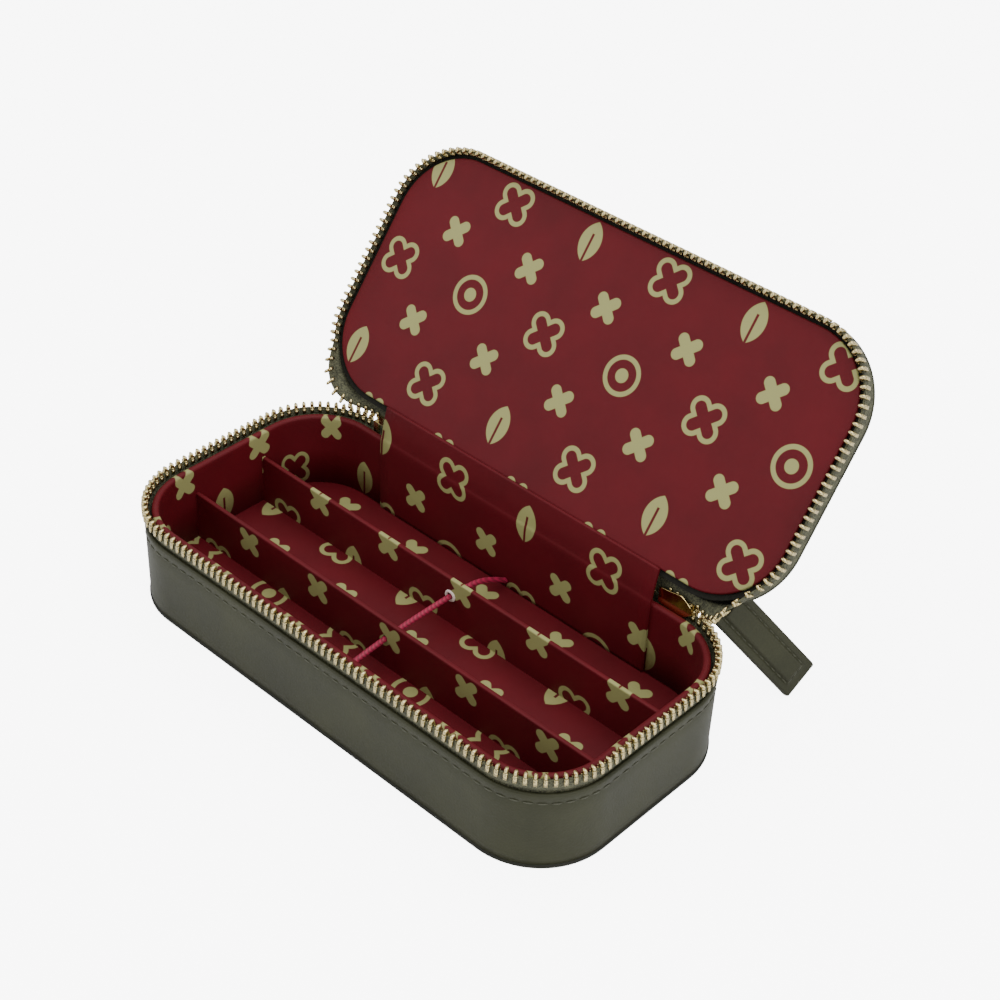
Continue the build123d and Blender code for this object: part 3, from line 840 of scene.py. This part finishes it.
def bent_strip(name, outer, inner, x0, x1, step=4 * mm):
    """Strip along X; outer and inner are matching (y, z) lines, its two faces."""
    loop = outer + inner[::-1]
    n, m = len(loop), max(2, round((x1 - x0) / step)) + 1
    points, uv, travel = [], [], [0.0]
    for a, b in zip(outer[:-1], outer[1:]):
        travel.append(travel[-1] + hypot(b[0] - a[0], b[1] - a[1]))
    travel = travel + travel[::-1]
    for i in range(m):
        x = x0 + (x1 - x0) * i / (m - 1)
        for j, (y, z) in enumerate(loop):
            points.append((x, y, z))
            uv.append((x, outer[0][1] + travel[j]))
    faces = [(i * n + j, i * n + (j + 1) % n, (i + 1) * n + (j + 1) % n, (i + 1) * n + j)
             for i in range(m - 1) for j in range(n)]
    k = len(outer)
    for j in range(k - 1):
        for i in (0, m - 1):
            a = (i * n + j, i * n + n - 1 - j, i * n + n - 2 - j, i * n + j + 1)
            faces.append(a if i == 0 else a[::-1])
    obj = mesh_object(name, points, faces, uv)
    for face in list(obj.data.polygons)[(m - 1) * n:]:
        face.use_smooth = False
    return obj


def curve_through(points, steps):
    """Smooth line through the given (y, z) points."""
    out = []
    for i in range(len(points) - 1):
        p0, p1 = points[max(i - 1, 0)], points[i]
        p2, p3 = points[i + 1], points[min(i + 2, len(points) - 1)]
        for k in range(steps):
            t = k / steps
            out.append(tuple(0.5 * (2 * b + (c - a) * t + (2 * a - 5 * b + 4 * c - d) * t * t
                                    + (3 * b - a - 3 * c + d) * t ** 3)
                             for a, b, c, d in zip(p0, p1, p2, p3)))
    return out + [tuple(points[-1])]


def at_lid(inset_y, z):
    """(y, z) of a closed-lid point at the middle of the back, after opening."""
    p = opened(Vector((0, half_w - inset_y, z)))
    return p.y, p.z


def thicken(line, t):
    """Line moved sideways by t, to its left."""
    out = []
    for i, (y, z) in enumerate(line):
        a, b = line[max(i - 1, 0)], line[min(i + 1, len(line) - 1)]
        dy, dz = b[0] - a[0], b[1] - a[1]
        size = hypot(dy, dz) or 1
        out.append((y - dz / size * t, z + dy / size * t))
    return out


strip_low, strip_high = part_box("hinge_lining_strip")
back_in, strip_t = inner_y, 0.75 * mm
glued_y = back_in - 0.05 * mm
cloth_line = [(glued_y, floor_high[2]), (glued_y, 18 * mm), (glued_y, lip_top - 1.4 * mm),
              (back_in + 0.45 * mm, lip_top + 1.6 * mm), (back_in + 1.25 * mm, lip_top + 6.0 * mm),
              at_lid(board_in + 0.35 * mm, cloth_z - 0.12 * mm)]
cloth_line = curve_through(cloth_line, 6)
lining_hinge = bent_strip("hinge_cloth", cloth_line, thicken(cloth_line, strip_t), strip_low[0],
                          strip_high[0] - 0.4 * mm)
hinge_cloth = lining_material("hinge_cloth", (1, 0, 0), (0, 1, 0), (6.6 * mm, 34.0 * mm, 0), uv=True)
lining_hinge.data.materials.append(hinge_cloth)
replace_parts(lining_hinge, "hinge_lining_strip")
at_lid(board_in, cloth_z)[0]
at_lid(board_in, cloth_z)[1] - 0.4 * mm
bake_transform(lining_hinge)

spine_low, spine_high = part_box("hinge_outer_strip")
back_out = half_w - w_in
glued_y = back_out + 0.03 * mm
spine_line = [(glued_y, spine_low[2]), (glued_y, 24 * mm), (glued_y, 33 * mm), (back_out + 0.3 * mm, 36 * mm),
              (back_out + 1.2 * mm, 37.3 * mm), at_lid(0.6 * mm, lid_top + 0.06 * mm),
              at_lid(4 * mm, lid_top + 0.03 * mm), at_lid(13 * mm, lid_top + 0.03 * mm)]
spine_line = curve_through(spine_line, 6)
spine = bent_strip("hinge_calf", thicken(spine_line, -0.9 * mm), spine_line, spine_low[0], spine_high[0])
spine.data.materials.append(olive_calf)
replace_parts(spine, "hinge_outer_strip")
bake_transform(spine)

# ---------------------------------------------------------------------------
# Slider: two polished plates over and under the rows, a post between them and
# a cast bail on the outer plate; a wire ring links it to the strap.
row_y = half_w - zip_inset
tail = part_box("slider_body")[0][0]
shield = [(0, 2.5), (1.0, 2.95), (4.0, 3.35), (7.0, 3.9), (8.3, 3.85), (9.8, 3.0), (11.6, 1.5), (12.5, 0.55)]


def plate(name, y0, y1, top, bevel=0.16 * mm):
    """Shield-shaped plate between y0 and y1, its upper half cut at top."""
    half = curve_through([(x * mm, z * mm) for x, z in shield], 4)
    loop = [(x, min(z, top)) for x, z in half] + [(x, -z) for x, z in half[::-1]]
    n = len(loop)
    points = [(tail + x, y, close_z + z) for y in (y0, y1) for x, z in loop]
    faces = [tuple(range(n)), tuple(range(2 * n - 1, n - 1, -1))]
    faces += [(j, n + j, n + (j + 1) % n, (j + 1) % n) for j in range(n)]
    obj = mesh_object(name, points, faces, smooth=False)
    mod = obj.modifiers.new("edge", "BEVEL")
    mod.width, mod.segments, mod.limit_method, mod.angle_limit = bevel, 2, "ANGLE", radians(50)
    obj.data = evaluated(obj)
    obj.modifiers.clear()
    return obj


def joint_place(name):
    return Vector(next(j for j in frame["joints"] if j["name"] == name)["pos_m"])


inner_plate = plate("slider_inner_plate", row_y - 1.85 * mm, row_y - 1.25 * mm, 9 * mm)
outer_plate = plate("slider_outer_plate", row_y + 1.25 * mm, row_y + 2.05 * mm, 2.4 * mm)
ring_pos = joint_place("ring_swing")
bail_w, bar_r = 5.8 * mm, 0.6 * mm
plate_y, leg_y, turn_y = row_y + 2.0 * mm, row_y + 4.2 * mm, ring_pos.y - 0.9 * mm
hw = bail_w / 2 - bar_r
half_arch = [(hw, plate_y), (hw, leg_y), (hw, turn_y), (hw * 0.9, ring_pos.y), (hw * 0.45, ring_pos.y)]
arch = [(-x, y) for x, y in half_arch] + half_arch[::-1]
arch_obj = rod("slider_bail_line", [(ring_pos.x + x, y, close_z) for x, y in arch], bar_r, 4)
bail = new_object("slider_bail", evaluated(arch_obj))
bpy.data.objects.remove(arch_obj)
post = pill("slider_post", 2.2 * mm, 1.5 * mm, 0.9 * mm)
post_at = Matrix.Translation((66.2 * mm, row_y, close_z + 0.95 * mm))
post.data.transform(post_at @ Matrix.Rotation(pi / 2, 4, "Z"))
for piece in (inner_plate, outer_plate, bail, post):
    piece.data.materials.clear()
    piece.data.materials.append(bright_gold)
    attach(piece, "slider")
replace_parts(inner_plate, "slider_body")
dress(bright_gold, "pull_ring")
dress(pale_gold, "zip_top_stop_base", "zip_top_stop_lid", "zip_bottom_stop")

# ---------------------------------------------------------------------------
# Strap of the pull: two layers of calf glued back to back, a filler between
# them raising the middle inside the stitch line; the ring goes through its top.
ring_hole = joint_place("strap_swing")
strap_down = Vector((0.505, 0.432, -0.747)).normalized()
strap_out = Vector((0.862, -0.304, 0.406))
strap_out = (strap_out - strap_down * strap_out.dot(strap_down)).normalized()
strap_across = strap_out.cross(strap_down).normalized()
strap_w, strap_len, layer_t, top_end, tip_r = 13 * mm, 38.9 * mm, 1.4 * mm, -4.3 * mm, 0.9 * mm
seam, seam_start, seam_end = strap_w / 2 - 2.7 * mm, 3.0 * mm, strap_len - 3.4 * mm


def strap_half_width(u):
    """Half the strap's width at u from the ring hole: narrow above the hole, rounded at the tip."""
    shoulder, narrow = 0.8 * mm, 2.2 * mm
    if u < shoulder:
        return narrow + (strap_w / 2 - narrow) * ((u - top_end) / (shoulder - top_end))
    if u > strap_len - tip_r:
        d = u - (strap_len - tip_r)
        return strap_w / 2 - tip_r + max(tip_r * tip_r - d * d, 0) ** 0.5
    return strap_w / 2


def strap_layer(name, face):
    """Face 1 is the front layer with the raised middle, -1 the back layer."""
    us = [top_end + (strap_len - top_end) * k / 110 for k in range(110)]
    us = sorted(set(us + [strap_len - tip_r + tip_r * k / 6 for k in range(1, 7)]))
    cols, edge_r, bulge = 44, 0.80 * mm, (0.75 if face > 0 else 0.15) * mm
    points = []
    for level in (1, 0):
        for u in us:
            h = strap_half_width(u)
            end = min(u - top_end, strap_len - u)
            for j in range(cols + 1):
                v = (2 * j / cols - 1) * h
                z = 0.03 * mm
                if level:
                    rim = min(h - abs(v), end)
                    z = layer_t - (edge_r - max(edge_r * edge_r - max(edge_r - rim, 0) ** 2, 0) ** 0.5)
                    inside = min(seam - abs(v), seam_end - u, u - 2.4 * mm)
                    lift = min(max(inside / (1.1 * mm), 0), 1)
                    z += bulge * lift * lift * (3 - 2 * lift)
                    z -= 0.38 * mm * max(0, 1 - abs(inside) / (0.6 * mm)) if u > 1.2 * mm else 0
                points.append(ring_hole + strap_down * u + strap_across * v + strap_out * (face * z))
    obj = mesh_object(name, points, slab_faces(len(us), cols, flip=face < 0))
    hole_r, sides = 2.9, 32                                      # radius in mm
    turns = [2 * pi * k / sides for k in range(sides)]
    points = [ring_hole + (strap_across * cos(t) + strap_down * sin(t)) * hole_r * mm + strap_out * z
              for z in (-4 * mm, 4 * mm) for t in turns]
    faces = [tuple(range(sides - 1, -1, -1)), tuple(range(sides, 2 * sides))]
    faces += [(k, (k + 1) % sides, sides + (k + 1) % sides, sides + k) for k in range(sides)]
    punch = mesh_object("punch", points, faces)
    cut = obj.modifiers.new("hole", "BOOLEAN")
    cut.object, cut.operation, cut.solver = punch, "DIFFERENCE", "EXACT"
    obj.data = evaluated(obj)
    obj.modifiers.clear()
    bpy.data.objects.remove(punch)
    obj.data.materials.clear()
    obj.data.materials.append(olive_calf)
    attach(obj, "strap")
    return obj


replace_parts(strap_layer("strap_front", 1), "pull_strap_front")
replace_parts(strap_layer("strap_back", -1), "pull_strap_back")
stitches = []
stitch_step = 3.05 * mm
side_count, end_count = round((seam_end - seam_start) / stitch_step), 3
for face in (1, -1):
    for side in (-1, 1):
        for k in range(side_count):
            u = seam_start + (seam_end - seam_start) * (k + 0.5) / side_count
            stitches.append((u, side * seam, strap_down, face))
    for k in range(end_count):
        stitches.append((seam_end, -seam + 2 * seam * (k + 0.5) / end_count, strap_across, face))
sunk = layer_t - 0.22 * mm
places = [(ring_hole + strap_down * u + strap_across * v + strap_out * face * sunk, d, strap_out * face)
          for u, v, d, face in stitches]
strap_dash = pill("strap_dash", 2.3 * mm, 0.5 * mm, 0.42 * mm)
strap_stitches = lay("strap_stitches", strap_dash, places, olive_thread)
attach(strap_stitches, "strap")

# ---------------------------------------------------------------------------
# Camera, floor and lights
eye = (0.3068, -0.3133, 0.3975)
back = Vector((0.5258, -0.5941, 0.6088)).normalized()
roll = radians(2.83)
right = upward.cross(back).normalized()
up = back.cross(right)
right2 = right * cos(roll) + up * sin(roll)
up2 = up * cos(roll) - right * sin(roll)
cam = bpy.data.cameras.new("camera")
cam.lens, cam.sensor_width = 70.17, 36
camera = new_object("camera", cam)
camera.matrix_world = Matrix((right2, up2, back)).transposed().to_4x4()
camera.location = eye
bpy.context.scene.camera = camera

bpy.ops.mesh.primitive_plane_add(size=6)
floor = bpy.context.object
floor.name = "floor"
paper, sheet, surface = new_material("pale_floor")
seen_by = add(sheet, "LightPath", {})       # the sheet glows to the eye but lights nothing
glow = add(sheet, "Math", {0: seen_by.outputs["Is Camera Ray"], 1: 7.0}, operation="MULTIPLY")
feed(sheet, surface, {"Base Color": (0.93, 0.93, 0.935, 1), "Roughness": 0.7, "Emission Color": (1, 1, 1, 1),
                      "Emission Strength": glow.outputs[0]})
floor.data.materials.append(paper)


def soft_box(name, where, size, power, aim=(0, 0, 0.02)):
    lamp = bpy.data.lights.new(name, "AREA")
    lamp.shape = "RECTANGLE"
    lamp.size, lamp.size_y = size
    lamp.energy = power
    obj = new_object(name, lamp)
    obj.location = where
    obj.rotation_euler = (Vector(aim) - Vector(where)).to_track_quat("-Z", "Y").to_euler()


soft_box("top_light", (0.15, 0.1, 1.3), (1.6, 1.2), 16)
soft_box("front_left_light", (-0.9, -0.9, 0.8), (0.8, 0.8), 5)
soft_box("right_light", (1.1, -0.2, 0.6), (0.8, 0.8), 5)
world = bpy.data.worlds.new("studio")
bpy.context.scene.world = world
world.use_nodes = True
feed(world.node_tree, world.node_tree.nodes["Background"], {"Color": (1, 1, 1, 1), "Strength": 0.75})

for item in (dash, tooth, strap_dash):
    bpy.data.objects.remove(item)
